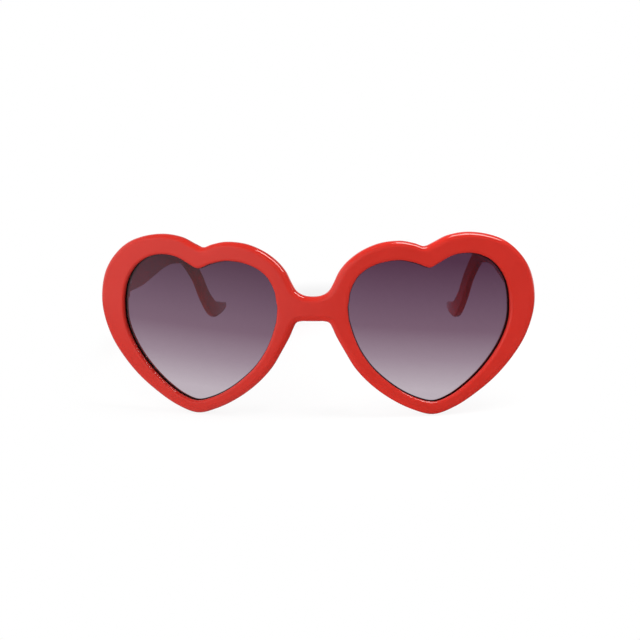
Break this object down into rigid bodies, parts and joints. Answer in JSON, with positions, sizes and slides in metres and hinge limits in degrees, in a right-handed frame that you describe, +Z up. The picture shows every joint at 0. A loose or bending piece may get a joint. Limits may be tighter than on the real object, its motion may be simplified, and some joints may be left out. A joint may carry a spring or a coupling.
{
  "type": "heart-shaped sunglasses",
  "caption": "Sunglasses with two heart-shaped tinted lenses in a thick glossy plastic front; the temples fold in on screwed metal hinges.",
  "frame": {"origin": "on the table, under the middle of the open glasses' bounding box", "axes": "+X towards the wearer's left, the face of the front looks along -Y and the temples run along +Y, +Z up; the glasses stand open on the lowest points of the hearts and on the temple tips"},
  "size_m": [0.1482, 0.1518, 0.0606],
  "materials": {
    "frame_red": "polished cellulose acetate",
    "temple_red": "polished cellulose acetate",
    "pad_red": "tumbled cellulose acetate",
    "lens_tint": "graded tint, dark at the top",
    "hinge_metal": "barrel-finished nickel silver",
    "screw_metal": "turned stainless steel",
    "core_wire": "drawn nickel silver wire"
  },
  "bodies": {
    "front": {"front_frame": "frame_red", "lens_left": "lens_tint", "lens_right": "lens_tint", "nose_pad_left": "pad_red", "nose_pad_right": "pad_red", "end_block_left": "pad_red", "end_block_right": "pad_red", "front_hinge_leaf_left": "hinge_metal", "front_hinge_leaf_right": "hinge_metal", "front_leaf_screws_left": "screw_metal", "front_leaf_screws_right": "screw_metal", "pivot_screw_left": "screw_metal", "pivot_screw_right": "screw_metal"},
    "left_temple": {"temple_left": "temple_red", "temple_core_left": "core_wire", "temple_hinge_leaf_left": "hinge_metal", "temple_leaf_screws_left": "screw_metal"},
    "right_temple": {"temple_right": "temple_red", "temple_core_right": "core_wire", "temple_hinge_leaf_right": "hinge_metal", "temple_leaf_screws_right": "screw_metal"}
  },
  "joints": [
    {"name": "left_temple_fold", "type": "hinge", "parent": "front", "child": "left_temple", "pos_m": [0.06803, -0.05296, 0.0425], "axis": [0, 0, 1], "range_deg": [0, 88]},
    {"name": "right_temple_fold", "type": "hinge", "parent": "front", "child": "right_temple", "pos_m": [-0.06803, -0.05296, 0.0425], "axis": [0, 0, -1], "range_deg": [0, 82]}
  ]
}
